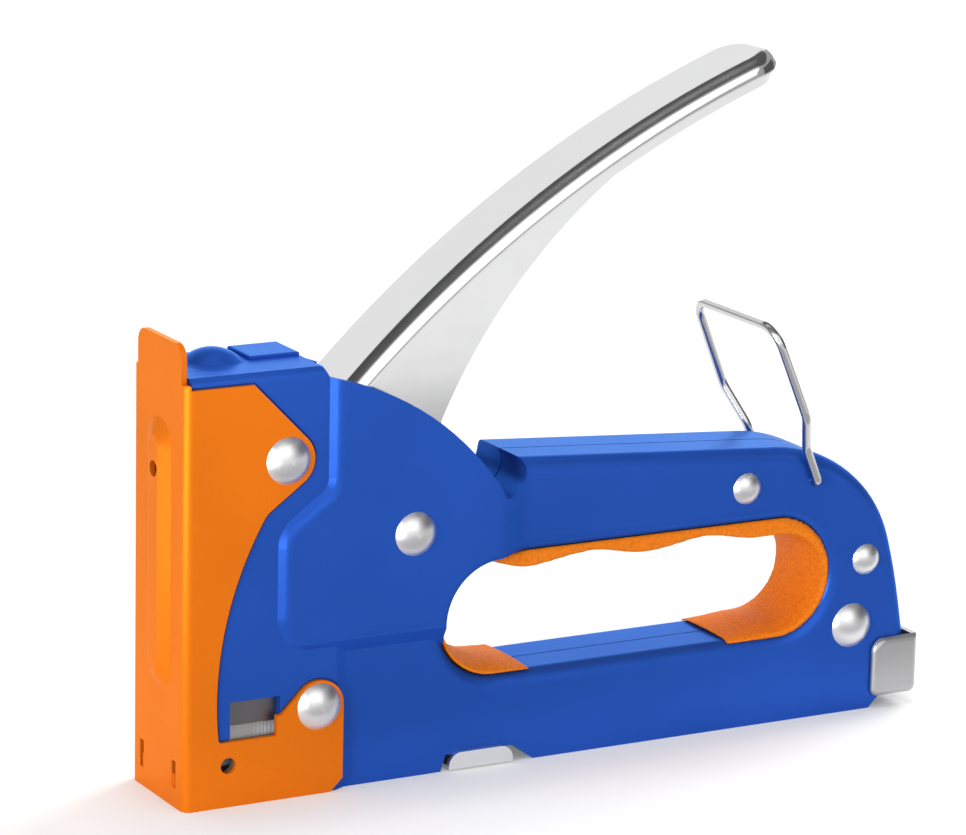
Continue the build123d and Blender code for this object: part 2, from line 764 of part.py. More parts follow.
def nose_plate():
    half = HALF_NOSE + PLATE
    front = extrude(Plane.YZ * front_face(), PLATE)
    cheek = side(cheek_face(), HALF_NOSE, half)
    plate = front + both_sides(cheek)
    folds = [edge for edge in plate.edges().filter_by(Axis.Z)
             if abs(edge.center().X) < TOL and abs(abs(edge.center().Y) - half) < TOL]
    plate = fillet(folds, PLATE_FOLD)
    plate = plate + bead(0.0) - bead(PLATE)
    plate -= Pos(0, 0, BEAD_HOLE_Z) * Rot(0, 90, 0) * Cylinder(PLATE_HOLE, 4 * PLATE)
    plate -= cross_hole(CHEEK_HOLE, PLATE_HOLE)
    plate -= cross_hole(NOSE_UPPER, SHANK + FIT) + cross_hole(NOSE_LOWER, THIN_SHANK + FIT)
    width, height = TAB_SLOT
    for y in (-TAB_Y, TAB_Y):
        inner = y - math.copysign(width / 2.0, y)
        plate -= Pos(PLATE / 2, y, TAB_Z) * Box(2 * PLATE, width, height)
        tab_y = sorted((inner, y))
        plate += block((TAB_SET, PLATE + TAB_REACH), tab_y, (TAB_Z - height / 2, TAB_Z))
    return plate


# Rivets and spacers

def rivet(place, shank, head, seat):
    """Rivet across the tool with a domed head on each seat."""
    head_radius, head_height = head
    ball = (head_radius ** 2 + head_height ** 2) / (2.0 * head_height)
    half_turn = math.asin(head_radius / ball) / 2.0
    rise = seat + head_height - ball
    bulge = (ball * math.sin(half_turn), rise + ball * math.cos(half_turn))
    edges = [
        Line((0, -seat - head_height), (0, seat + head_height)),
        ThreePointArc((0, seat + head_height), bulge, (head_radius, seat)),
        Polyline((head_radius, seat), (shank, seat), (shank, -seat), (head_radius, -seat)),
        ThreePointArc((head_radius, -seat), (bulge[0], -bulge[1]), (0, -seat - head_height)),
    ]
    face = make_face([edge for part in edges for edge in part.edges()])
    body = revolve(Plane.XZ * face, Axis.Z)
    return Pos(place[0], 0, place[1]) * Rot(90, 0, 0) * body


def spacer(place):
    """Tube between the shells on a rivet."""
    half = HALF_HANDLE - SHEET
    return rod(place, SPACER_RADIUS, -half, half) - cross_hole(place, SHANK + FIT)


# Lever and what rides on it

def crest_point(depth, x):
    """Point below the lever's crest line by depth, at x."""
    return above_center(CREST_CENTER, CREST_RADIUS - depth, x)


def crest_strip(top, bottom, foot_x, tip_x):
    """Side view of a strip that follows the lever's crest between two depths."""
    a = crest_point(top, foot_x)
    b = crest_point(top, tip_x)
    c = polar(CREST_CENTER, CREST_RADIUS - bottom, angle_of(CREST_CENTER, b))
    d = polar(CREST_CENTER, CREST_RADIUS - bottom, angle_of(CREST_CENTER, a))
    edges = [arc_about(CREST_CENTER, a, b), Line(b, c), arc_about(CREST_CENTER, c, d), Line(d, a)]
    return make_face([edge for part in edges for edge in part.edges()])


def tip_plan(inset):
    """Plan view of the lever with its round tip, moved inwards by inset."""
    end = LEVER_TIP_X - inset
    half = LEVER_HALF - inset
    face = polygon((-FAR, -half), (end, -half), (end, half), (-FAR, half))
    for y in (-half, half):
        face = soften(face, (end, y), LEVER_TIP_ROUND - inset)
    return extrude(face, FAR)


def lever_rib(inset, low, foot_x):
    """Solid rounded bar along the lever's back, moved inwards by inset."""
    strip = crest_strip(inset, low, foot_x, LEVER_TIP_X + LEVER_HALF)
    bar = across(strip, LEVER_HALF - inset) & tip_plan(inset)
    crest = [face for face in bar.faces() if abs(middle_radius(face) - CREST_RADIUS + inset) < TOL]
    rim = [edge for edge in crest[0].edges() if abs((edge @ 0.5).Y) > TOL]
    return fillet(rim, LEVER_EDGE - inset)


def tip_trim():
    """Cutter that takes the lower corner off the lever's tip."""
    length, height = LEVER_TIP_TRIM
    low = crest_point(BAND_DEPTH, LEVER_TIP_X)[1]
    start = (LEVER_TIP_X - 2 * length, low - height)
    end = (LEVER_TIP_X + length, low + 2 * height)
    return across(polygon(start, end, (end[0], start[1])), FAR)


def lever_band():
    """Rounded channel along the lever's back, closed at the tip and open below."""
    inside = lever_rib(LEVER_SHEET, 2 * BAND_DEPTH, LEVER_FOOT_X - BAND_DEPTH)
    return lever_rib(0.0, BAND_DEPTH, LEVER_FOOT_X) - inside - tip_trim()


def middle_radius(face):
    """Distance of a face's middle from the crest line's centre."""
    middle = face.center()
    return math.dist(CREST_CENTER, (middle.X, middle.Z))


def web_face():
    """Side view of one lever web: gusset, hub and the edge under the lever."""
    foot_angle = angle_of(CREST_CENTER, crest_point(0.0, LEVER_FOOT_X))
    foot = polar(CREST_CENTER, CREST_RADIUS - BAND_DEPTH, foot_angle)
    end = crest_point(BAND_DEPTH, WEB_END_X)
    hub_front = polar(PIVOT, HUB_RADIUS, 180.0)
    hub_low = polar(PIVOT, HUB_RADIUS, 270.0)
    hub_rear = polar(PIVOT, HUB_RADIUS, 0.0)
    edges = [
        arc_about(CREST_CENTER, foot, end),
        RadiusArc(WEB_REAR, end, UNDER_RADIUS),
        Line(WEB_REAR, hub_rear),
        ThreePointArc(hub_rear, hub_low, hub_front),
        Line(hub_front, foot),
    ]
    return make_face([edge for part in edges for edge in part.edges()])


def lever():
    """Pressed lever: channel, shelf below it, and two webs down to the pivot."""
    web = side(web_face(), WEB_HALF - LEVER_SHEET, WEB_HALF)
    strip = crest_strip(BAND_DEPTH - LEVER_SHEET, BAND_DEPTH, LEVER_FOOT_X, WEB_END_X)
    shelf = side(strip, WEB_HALF - LEVER_SHEET, LEVER_HALF)
    body = lever_band() + both_sides(shelf + web)
    holes = cross_hole(PIVOT, BUSH_RADIUS)
    for angle in LIFTER_PIN_ANGLES:
        holes += cross_hole(polar(PIVOT, LIFTER_PIN_RADIUS, angle), LIFTER_PIN)
    return body - holes


def lever_bush():
    half = HALF_BULGE - SHEET - BUSH_GAP
    return rod(PIVOT, BUSH_RADIUS, -half, half) - cross_hole(PIVOT, PIVOT_SHANK + FIT)


def lifter_tip():
    """Centre of the lifter's round tip at rest."""
    return polar(PIVOT, LIFTER_ARM, 180.0 + LIFTER_DROP)


def lifter():
    """Hardened plate between the webs that lifts the plunger."""
    hub = Pos(PIVOT[0], PIVOT[1]) * Circle(LIFTER_HUB)
    tip = Pos(*lifter_tip()) * Circle(LIFTER_TIP)
    root = Pos(PIVOT[0], PIVOT[1]) * Circle(LIFTER_ROOT)
    plate = across(make_hull(root.edges() + tip.edges()) + hub, LIFTER_HALF)
    for angle in LIFTER_PIN_ANGLES:
        plate -= cross_hole(polar(PIVOT, LIFTER_PIN_RADIUS, angle), LIFTER_PIN)
    return plate - cross_hole(PIVOT, BUSH_RADIUS)


def lifter_pins():
    """Two pins that tie the lifter to the webs."""
    pins = [rod(polar(PIVOT, LIFTER_PIN_RADIUS, angle), LIFTER_PIN, -WEB_HALF, WEB_HALF)
            for angle in LIFTER_PIN_ANGLES]
    return Compound([pin.solids()[0] for pin in pins])


# Springs

def biarc(start, start_dir, end, end_dir):
    """Two tangent arcs from one point and direction to another."""
    gap = end - start
    both = start_dir + end_dir
    a = both.dot(both) - 4.0
    b = -2.0 * gap.dot(both)
    c = gap.dot(gap)
    reach = (-b - math.sqrt(b * b - 4.0 * a * c)) / (2.0 * a)
    middle = (start + start_dir * reach + end - end_dir * reach) * 0.5
    first = Edge.make_tangent_arc(start, start_dir, middle)
    return [first, Edge.make_tangent_arc(middle, first % 1, end)]


def coil(center, axis, x_dir, mean, turns, heights, lead):
    """Coil path of quarter-turn biarcs: heights(turn) gives the height along the axis after each turn."""
    y_dir = axis.cross(x_dir)
    step = 1e-4

    def at(turn):
        angle = 2.0 * math.pi * turn
        spoke = x_dir * (mean * math.cos(angle)) + y_dir * (mean * math.sin(angle))
        return center + spoke + axis * heights(turn)

    def heading(turn):
        return (at(turn + step) - at(turn - step)).normalized()

    edges = []
    quarters = int(round(4 * turns))
    for quarter in range(quarters):
        a = quarter / 4.0
        b = a + 0.25
        edges += biarc(at(a), heading(a), at(b), heading(b))
    start = at(0.0)
    end = at(turns)
    lead_in = Edge.make_line(start - heading(0.0) * lead, start)
    lead_out = Edge.make_line(end, end + heading(turns) * lead)
    samples = [at(index / 48.0) for index in range(int(48 * turns) + 1)]
    return Wire([lead_in, *edges, lead_out]), samples


def tube(path, radius):
    """Round wire swept along a path."""
    section = Plane(origin=path @ 0, z_dir=path % 0) * Circle(radius)
    return sweep(section, path=path)


def self_gap(samples, wire):
    """Least gap between the turns of a coil, measured on points of its centre line."""
    least = FAR
    for index, point in enumerate(samples):
        for other in samples[index + 24:index + 72]:
            least = min(least, (other - point).length)
    return least - wire


def power_spring():
    low = plunger_top() + SPRING_GAP + SPRING_WIRE / 2
    high = NOSE_TOP - SHEET - SEAT_THICK - SPRING_GAP - SPRING_WIRE / 2
    path, samples = coil(
        Vector(SPRING_X, 0, low),
        Vector(0, 0, 1),
        Vector(1, 0, 0),
        SPRING_MEAN,
        SPRING_TURNS,
        lambda turn: (high - low) * turn / SPRING_TURNS,
        SPRING_WIRE,
    )
    print("power_spring least gap between turns", round(self_gap(samples, SPRING_WIRE), 2))
    return tube(path, SPRING_WIRE / 2)


def lever_spring():
    path, samples = coil(
        Vector(PIVOT[0], RETURN_START_Y, PIVOT[1]),
        Vector(0, 1, 0),
        Vector(0, 0, -1),
        RETURN_MEAN,
        RETURN_TURNS,
        lambda turn: RETURN_PITCH * turn,
        RETURN_LEG,
    )
    print("lever_spring least gap between turns", round(self_gap(samples, RETURN_WIRE), 2))
    return tube(path, RETURN_WIRE / 2)


def pusher_spring():
    low = strip_end() + PUSHER_GAP + PUSHER_LENGTH + SPRING_GAP + PUSHER_SPRING_WIRE / 2
    high = cap_rear() - CAP_SHEET - RAIL_FOOT - SPRING_GAP - PUSHER_SPRING_WIRE / 2
    path, samples = coil(
        Vector(low, 0, ROD_Z),
        Vector(1, 0, 0),
        Vector(0, 0, 1),
        PUSHER_SPRING_MEAN,
        PUSHER_SPRING_TURNS,
        lambda turn: (high - low) * turn / PUSHER_SPRING_TURNS,
        PUSHER_SPRING_WIRE,
    )
    print("pusher_spring least gap between turns", round(self_gap(samples, PUSHER_SPRING_WIRE), 2))
    return tube(path, PUSHER_SPRING_WIRE / 2)


# Plunger and driver

def plunger():
    """Sliding hammer with the lug that the lifter raises and the boss that centres the spring."""
    front = shell_front() + BLADE
    top = plunger_top()
    body = block((front, PLUNGER_REAR), (-PLUNGER_HALF, PLUNGER_HALF), (PLUNGER_LOW, top))
    body = fillet(body.edges().filter_by(Axis.Z).sort_by(Axis.X)[-2:], PLUNGER_EDGE)
    lug_low = lifter_tip()[1] + LIFTER_TIP + LIFT_GAP
    lug_span = (PLUNGER_REAR - PLUNGER_EDGE, LUG_REAR)
    body += block(lug_span, (-LUG_HALF, LUG_HALF), (lug_low, lug_low + LUG_THICK))
    boss = Cylinder(SEAT_BOSS, SEAT_BOSS_HEIGHT, align=(Align.CENTER, Align.CENTER, Align.MIN))
    body += Pos(SPRING_X, 0, top) * boss
    pocket = Cylinder(DRIVER_RIVET_SHANK, DRIVER_RIVET_LENGTH, align=(Align.CENTER, Align.CENTER, Align.MIN))
    return body - Pos(front, 0, DRIVER_RIVET_Z) * Rot(0, 90, 0) * pocket


def driver_blade():
    front = shell_front()
    blade = block((front, front + BLADE), (-BLADE_HALF, BLADE_HALF), (BLADE_LOW, plunger_top()))
    return blade - Pos(front, 0, DRIVER_RIVET_Z) * Rot(0, 90, 0) * Cylinder(DRIVER_RIVET_SHANK, 4 * BLADE)


def driver_rivet():
    """Flat-headed rivet that holds the blade to the plunger, its head in the hollow of the bead."""
    front = shell_front()
    head = Cylinder(DRIVER_RIVET_HEAD, DRIVER_RIVET_THICK, align=(Align.CENTER, Align.CENTER, Align.MAX))
    shank = Cylinder(
        DRIVER_RIVET_SHANK, BLADE + DRIVER_RIVET_LENGTH, align=(Align.CENTER, Align.CENTER, Align.MIN)
    )
    return Pos(front, 0, DRIVER_RIVET_Z) * Rot(0, 90, 0) * (head + shank)


def bump_stop():
    """Rubber stop under the plunger, ribbed on top, held between the shells."""
    front = shell_front() + BLADE + STOP_FRONT_GAP
    half = HALF_NOSE - SHEET
    high = PLUNGER_LOW - STOP_GAP
    body = block((front, PLUNGER_REAR), (-half, half), (high - STOP_HEIGHT, high - STOP_RIB / 2))
    for y in (-half / 2, 0, half / 2):
        body += block((front, PLUNGER_REAR), (y - STOP_RIB / 2, y + STOP_RIB / 2), (high - STOP_RIB, high))
    return body


def spring_seat():
    """Cup under the nose top that takes the spring's thrust."""
    top = NOSE_TOP - SHEET
    disc = Cylinder(SEAT_RADIUS, SEAT_THICK, align=(Align.CENTER, Align.CENTER, Align.MAX))
    boss = Cylinder(SEAT_BOSS, SEAT_THICK + SEAT_BOSS_HEIGHT, align=(Align.CENTER, Align.CENTER, Align.MAX))
    return Pos(SPRING_X, 0, top) * (disc + boss)


# Lock bail

def bail_point(reach, y):
    """Point on the bail's plane at a distance from its pivot."""
    lean = math.radians(BAIL_LEAN)
    return (BAIL_PIVOT[0] - reach * math.sin(lean), y, BAIL_PIVOT[1] + reach * math.cos(lean))


def lock_bail():
    """Wire loop that swings over the closed lever; its ends hook into the shells."""
    leg = HALF_HANDLE + BAIL_GAP + BAIL_BEND
    half = [
        (0.0, HALF_HANDLE - SHEET - BAIL_PIN_IN),
        (0.0, leg),
        (BAIL_STRAIGHT, leg),
        (BAIL_KINK, BAIL_KINK_HALF),
        (BAIL_REACH, BAIL_TOP_HALF),
    ]
    points = [bail_point(reach, -y) for reach, y in half]
    points += [bail_point(reach, y) for reach, y in reversed(half)]
    turns = [BAIL_BEND, BAIL_CORNER, BAIL_CORNER, BAIL_CORNER]
    path = FilletPolyline(*points, radius=turns + turns[::-1])
    return tube(path, BAIL_WIRE)


# Staple magazine

def staple_strip():
    """Stick of staples: crown on top, two legs, open below."""
    leg_low = CROWN_TOP - STAPLE_LEG
    inner = STAPLE_HALF - STAPLE_WIRE
    outside = block((strip_front(), strip_end()), (-STAPLE_HALF, STAPLE_HALF), (leg_low, CROWN_TOP))
    return outside - block((-FAR, FAR), (-inner, inner), (-FAR, crown_low()))


def rail_half():
    return STAPLE_HALF - STAPLE_WIRE - RAIL_GAP


def rail_top():
    return crown_low() - RAIL_TOP_GAP


def rail_low():
    return rail_top() - RAIL_HEIGHT


def staple_rail():
    """Inverted channel that the staples ride on, with a foot riveted to the end cap."""
    rear = cap_rear() - CAP_SHEET
    half = rail_half()
    outside = block((strip_front() + RAIL_SET, rear), (-half, half), (rail_low(), rail_top()))
    inner = half - RAIL_SHEET
    hollow = block((-FAR, rear - RAIL_FOOT), (-inner, inner), (-FAR, rail_top() - RAIL_SHEET))
    return outside - hollow - rail_rivet_holes() - rod_along(ROD_RADIUS)


def rod_along(radius):
    """Cylinder along the rail at the pusher rod's height."""
    return Pos(0, 0, ROD_Z) * Rot(0, 90, 0) * Cylinder(radius, 4 * FAR)


def rail_rivet_holes():
    drill = Rot(0, 90, 0) * Cylinder(RAIL_RIVET, 4 * CAP_SHEET)
    holes = [Pos(cap_rear(), 0, z) * drill for z in RAIL_RIVET_Z]
    return holes[0] + holes[1]


def rail_rivets():
    """Two small rivets, peened flush, that hold the rail to the end cap."""
    shank = Cylinder(RAIL_RIVET, CAP_SHEET + RAIL_FOOT, align=(Align.CENTER, Align.CENTER, Align.MAX))
    rivets = [Pos(cap_rear(), 0, z) * Rot(0, 90, 0) * shank for z in RAIL_RIVET_Z]
    return Compound([part.solids()[0] for part in rivets])


def magazine_channel():
    """Bottom channel between the shells; its underside is the base."""
    half = HALF_HANDLE - SHEET
    rear = cap_rear() - CAP_LENGTH - CHANNEL_END_GAP
    outside = block((strip_front(), rear), (-half, half), (0, CHANNEL_HEIGHT))
    inside = block((-FAR, FAR), (CHANNEL_SHEET - half, half - CHANNEL_SHEET), (CHANNEL_SHEET, FAR))
    notch = clip_notch()
    clip_cut = block((notch[0], notch[-1]), (-FAR, FAR), (-FAR, CLIP_NOTCH_HEIGHT))
    return outside - inside - clip_cut - cheek_hole_clear()


def magazine_cover():
    """Inverted channel over the front of the staples, held by the lower nose rivet."""
    half = HALF_NOSE - SHEET - COVER_GAP
    top = NOSE_LOWER[1] + COVER_RISE
    outside = block((COVER_FRONT, COVER_FRONT + COVER_LENGTH), (-half, half), (top - COVER_HEIGHT, top))
    inside = block((-FAR, FAR), (COVER_SHEET - half, half - COVER_SHEET), (-FAR, top - COVER_SHEET))
    return outside - inside - cross_hole(NOSE_LOWER, THIN_SHANK + FIT)


def pusher():
    """Sleeve round the rail with a lug inside it that the rod and spring act on."""
    front = strip_end() + PUSHER_GAP
    rear = front + PUSHER_LENGTH
    half = rail_half() + PUSHER_FIT
    low = rail_low() - PUSHER_FIT
    high = rail_top() + PUSHER_FIT
    outside = block(
        (front, rear),
        (-half - PUSHER_SHEET, half + PUSHER_SHEET),
        (low - PUSHER_SHEET, high + PUSHER_SHEET / 2),
    )
    sleeve = outside - block((-FAR, FAR), (-half, half), (low, high))
    lug_high = rail_top() - RAIL_SHEET - PUSHER_FIT
    lug = block((rear - PUSHER_LUG, rear), (-PUSHER_LUG_HALF, PUSHER_LUG_HALF), (low, lug_high))
    return sleeve + lug - rod_along(ROD_RADIUS + ROD_FIT)


def pusher_rod():
    rear = cap_rear() - CAP_SHEET
    bar = Cylinder(ROD_RADIUS, rear - ROD_FRONT, align=(Align.CENTER, Align.CENTER, Align.MIN))
    return Pos(ROD_FRONT, 0, ROD_Z) * Rot(0, 90, 0) * bar


def end_cap():
    """Folded cap over the rear of the magazine, with rounded side plates."""
    inner = HALF_HANDLE + CAP_GAP
    rear = cap_rear()
    front = rear - CAP_LENGTH
    high = CAP_LOW + CAP_HEIGHT
    face = polygon((front, CAP_LOW), (rear, CAP_LOW), (rear, high), (front, high))
    for corner, radius in (
        ((front, high), CAP_ROUND), ((front, CAP_LOW), CAP_SMALL_ROUND), ((rear, CAP_LOW), CAP_SMALL_ROUND)
    ):
        face = soften(face, corner, radius)
    cap = across(face, inner + CAP_SHEET)
    folds = [edge for edge in cap.edges().filter_by(Axis.Z) if edge.center().X > rear - TOL]
    cap = fillet(folds, CAP_FOLD)
    cap -= block((-FAR, rear - CAP_SHEET), (-inner, inner), (-FAR, FAR))
    return cap - rail_rivet_holes()


def bottom_clip():
    """Thin clip under the body with two ears outside the shells."""
    half = HALF_HANDLE + CLIP_SHEET
    rear = CLIP_FRONT + CLIP_LENGTH
    high = CLIP_LOW + CLIP_HEIGHT
    face = polygon((CLIP_FRONT, CLIP_LOW), (rear, CLIP_LOW), (rear, high), (CLIP_FRONT, high))
    for x in (CLIP_FRONT, rear):
        face = soften(face, (x, high), CLIP_ROUND)
    clip = across(face, half)
    folds = [edge for edge in clip.edges().filter_by(Axis.X) if edge.center().Z < CLIP_LOW + TOL]
    clip = fillet(folds, CLIP_FOLD)
    return clip - block((-FAR, FAR), (-HALF_HANDLE, HALF_HANDLE), (CLIP_LOW + CLIP_SHEET, FAR))


# Soft grips

def hole_middle():
    """Radius of the finger hole's round ends, and their centres."""
    radius = HOLE_HEIGHT / 2.0
    middle = HOLE_LOW + radius
    return radius, (HOLE_FRONT + radius, middle), (HOLE_FRONT + HOLE_LENGTH - radius, middle)


def grip_liner():
    """Three-wave finger strip that runs on round the rear of the hole."""
    radius, front, rear = hole_middle()
    seat = radius - GRIP_SEAT
    high = rear[1] + seat
    low = rear[1] - seat
    start = polar(front, seat, GRIP_START_ANGLE)
    tail = rear[0] - GRIP_TAIL
    wave = [polar(front, seat - GRIP_TIP, GRIP_START_ANGLE)]
    for index in range(GRIP_WAVES):
        x = front[0] + GRIP_LEAD + index * GRIP_PITCH
        wave += [(x, high - GRIP_BUMP), (x + GRIP_VALLEY_AT, high - GRIP_VALLEY)]
    wave.pop()
    inner_top = (rear[0] + GRIP_LAST, high - GRIP_BUMP)
    inner_rear = (rear[0] + seat - GRIP_REAR, rear[1])
    inner_low = (rear[0], low + GRIP_REAR)
    tail_bend = (rear[0] - GRIP_TAIL_BEND, low + GRIP_TAIL_THICK)
    edges = [
        arc_about(front, start, (front[0], high)),
        Line((front[0], high), (rear[0], high)),
        ThreePointArc((rear[0], high), (rear[0] + seat, rear[1]), (rear[0], low)),
        Polyline((rear[0], low), (tail, low), (tail, low + GRIP_TIP)),
        Spline((tail, low + GRIP_TIP), tail_bend, inner_low, tangents=[(1, GRIP_TAIL_SLOPE), (1, 0)]),
        ThreePointArc(inner_low, inner_rear, inner_top),
        Spline(inner_top, *reversed(wave), tangents=[(-1, 0), (-1, GRIP_LEAD_SLOPE)]),
        Line(wave[0], start),
    ]
    return across(make_face([edge for part in edges for edge in part.edges()]), GRIP_HALF)


def front_grip_pad():
    """Crowned pad in the lower front corner of the hole."""
    radius, front, _ = hole_middle()
    seat = radius - GRIP_SEAT
    low = front[1] - seat
    start = polar(front, seat, PAD_START_ANGLE)
    inner_start = polar(front, seat - PAD_TIP, PAD_START_ANGLE)
    inner_mid = polar(front, seat - PAD_THICK, PAD_MIDDLE_ANGLE)
    tail = (front[0] + PAD_TAIL, low + PAD_TIP)
    crest = (front[0] - PAD_CREST, low + PAD_THICK)
    edges = [
        arc_about(front, start, (front[0], low)),
        Polyline((front[0], low), (tail[0], low), tail),
        Spline(tail, crest, inner_mid, inner_start),
        Line(inner_start, start),
    ]
    return across(make_face([edge for part in edges for edge in part.edges()]), GRIP_HALF)


# Every node of the assembly
PARTS = {
    "left_shell": left_shell,
    "right_shell": right_shell,
    "nose_plate": nose_plate,
    "nose_upper_rivet": lambda: rivet(NOSE_UPPER, SHANK, BIG_HEAD, HALF_NOSE + PLATE),
    "nose_lower_rivet": lambda: rivet(NOSE_LOWER, THIN_SHANK, BIG_HEAD, HALF_NOSE + PLATE),
    "lever_rivet": lambda: rivet(PIVOT, PIVOT_SHANK, PIVOT_HEAD, HALF_BULGE),
    "handle_rivet": lambda: rivet(HANDLE_RIVET, SHANK, SMALL_HEAD, HALF_HANDLE),
    "rear_upper_rivet": lambda: rivet(REAR_UPPER, SHANK, SMALL_HEAD, HALF_HANDLE),
    "rear_lower_rivet": lambda: rivet(REAR_LOWER, SHANK, BIG_HEAD, HALF_HANDLE),
    "handle_spacer": lambda: spacer(HANDLE_RIVET),
    "rear_spacer": lambda: spacer(REAR_UPPER),
    "grip_liner": grip_liner,
    "front_grip_pad": front_grip_pad,
    "lever": lever,
    "lever_bush": lever_bush,
    "lifter": lifter,
    "lifter_pins": lifter_pins,
    "lever_spring": lever_spring,
    "power_spring": power_spring,
    "spring_seat": spring_seat,
    "plunger": plunger,
    "driver_blade": driver_blade,
    "driver_rivet": driver_rivet,
    "bump_stop": bump_stop,
    "lock_bail": lock_bail,
    "magazine_channel": magazine_channel,
    "magazine_cover": magazine_cover,
    "staple_strip": staple_strip,
    "staple_rail": staple_rail,
    "rail_rivets": rail_rivets,
    "pusher": pusher,
    "pusher_rod": pusher_rod,
    "pusher_spring": pusher_spring,
    "end_cap": end_cap,
    "bottom_clip": bottom_clip,
}

os.makedirs("parts", exist_ok=True)
middle = (cap_rear() - BEAD_HEIGHT) / 2.0
to_origin = Pos(-middle, 0, 0)
for node, make in PARTS.items():
    export_step(to_origin * make(), "parts/" + node + ".step")
print("origin", round(middle, 3), "behind the nose front")
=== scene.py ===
import math

import bpy
from bpy.props import FloatProperty, FloatVectorProperty, PointerProperty
from mathutils import Matrix, Vector


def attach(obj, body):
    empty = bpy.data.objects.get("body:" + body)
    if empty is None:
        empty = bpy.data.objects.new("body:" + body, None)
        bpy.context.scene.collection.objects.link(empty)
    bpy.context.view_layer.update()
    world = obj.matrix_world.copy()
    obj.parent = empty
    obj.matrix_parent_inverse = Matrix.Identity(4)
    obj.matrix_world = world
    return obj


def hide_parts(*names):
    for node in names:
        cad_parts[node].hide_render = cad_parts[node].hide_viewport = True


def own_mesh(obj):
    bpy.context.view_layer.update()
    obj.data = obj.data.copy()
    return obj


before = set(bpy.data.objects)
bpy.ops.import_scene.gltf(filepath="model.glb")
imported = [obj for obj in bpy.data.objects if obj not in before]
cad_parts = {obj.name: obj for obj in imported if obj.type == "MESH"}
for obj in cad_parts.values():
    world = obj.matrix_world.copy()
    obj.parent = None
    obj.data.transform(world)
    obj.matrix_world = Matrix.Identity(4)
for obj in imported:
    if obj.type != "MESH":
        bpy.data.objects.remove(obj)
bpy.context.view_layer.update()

bl_info = {
    "name": "Staple gun dressing",
    "version": (1, 0, 0),
    "blender": (4, 5, 0),
    "location": "View3D > Sidebar > Staple gun",
    "description": "Finishes, soft grips, coil springs, camera and stage for a hand staple gun",
    "category": "Object",
}

MM = 0.001
WHITE = (1.0, 1.0, 1.0)
EVEN = (1.0, 1.0, 1.0)
X_AXIS = Vector((1.0, 0.0, 0.0))
Z_AXIS = Vector((0.0, 0.0, 1.0))

# The finger hole of the CAD part
HOLE_FRONT_X = -13.10 * MM  # centres of its round ends
HOLE_REAR_X = 44.30 * MM
HOLE_MIDDLE_Z = 26.7 * MM
HOLE_SEAT = 10.6 * MM  # radius of the grips' seat
RIM_START = 6.3 * MM  # where the shells' sides start to roll over into the hole
RIM_ROUND = 2.6 * MM
RIM_RAMP = 7.0 * MM  # length over which that rolled rim begins

# Soft corners of the grips
SOFTENING = 0.5
SOFTENING_PASSES = 4

# Coil springs: CAD node, piece, body, joint that presses it, axis, travel of the joint
COILS = (
    ("power_spring", "power_coil", "frame", "driver_slide", Z_AXIS, 17.16 * MM),
    ("pusher_spring", "pusher_coil", "magazine", "pusher_slide", X_AXIS, 40.0 * MM),
)

# Pieces with the same finish
SHELLS = ("left_shell", "right_shell")
RIVETS = (
    "nose_upper_rivet", "nose_lower_rivet", "lever_rivet", "handle_rivet", "rear_upper_rivet",
    "rear_lower_rivet", "rail_rivets", "driver_rivet",
)
ZINC_PIECES = (
    "magazine_channel", "staple_rail", "pusher", "pusher_rod", "handle_spacer", "rear_spacer",
    "lever_bush", "lifter", "lifter_pins", "plunger", "driver_blade", "spring_seat",
)

# Noise octaves
SIMPLE = 2.0
RICH = 3.0
NOISE_MEAN = 0.5

# Lacquer
LACQUER_CLOUD = 30.0 * MM
LACQUER_CLOUD_LOW = 0.3
LACQUER_CLOUD_HIGH = 0.7
LACQUER_DARK = 0.93
LACQUER_LIGHT = 1.06
LACQUER_SWING = 0.05  # change of roughness over the clouds
LACQUER_PEEL = 1.1 * MM
LACQUER_PEEL_DEPTH = 0.03 * MM
LACQUER_SPECULAR = 0.04
SHELL_GLINT = (0.1, 0.6, 1.0)
NOSE_GLINT = (1.0, 0.75, 0.2)

# Steel
STEEL_CLOUD = 20.0 * MM
STEEL_DARK = 0.95
STEEL_COOL = 1.01  # share of blue in its grey
STEEL_SWING = 0.1
STEEL_GRAIN = 0.6 * MM
STEEL_GRAIN_DEPTH = 0.002 * MM
LEVER_GRAIN = 4.0 * MM
LEVER_GRAIN_DEPTH = 0.0015 * MM
BAIL_WEAR = 0.08  # how much rougher the bail is than the lever
ROLLED = (0.15, 1.0, 1.0)  # grain drawn out along the magazine
CLIP_ROLLED = (0.2, 1.0, 1.0)
CAP_ROLLED = (1.0, 1.0, 0.2)

# Rubber
GRIP_CELL = 0.6 * MM
GRIP_CELL_EDGE = 0.9
GRIP_CELL_DEPTH = 0.08 * MM
GRIP_CLOUD = 4.0 * MM
# The grip's colour runs from lighter on the cell tops to darker in the grooves between cells, in step with
# the bump: painted light and painted shade.
GRIP_TOP_PAINTED_LIGHT = 1.08
GRIP_GROOVE_PAINTED_SHADE = 0.8
GRIP_ROUGHNESS = 0.5
GRIP_SPECULAR = 0.12
STOP_CLOUD = 2.0 * MM
STOP_DEPTH = 0.03 * MM
STOP_DARK = (0.01, 0.01, 0.011)
STOP_LIGHT = (0.025, 0.025, 0.026)
STOP_ROUGHNESS = 0.6
RUBBER_SWING = 0.2

# Staples
WIRE_PITCH = 0.7 * MM
WIRE_DEPTH = 0.05 * MM
WIRE_SHADE_SHARE = 0.3  # share of the painted shade between the wires in the colour, the rest is speckle
WAVE_PHASE = 20.0  # radians that a Wave texture turns over one unit at scale 1
STAPLE_SPECKLE = 0.3 * MM
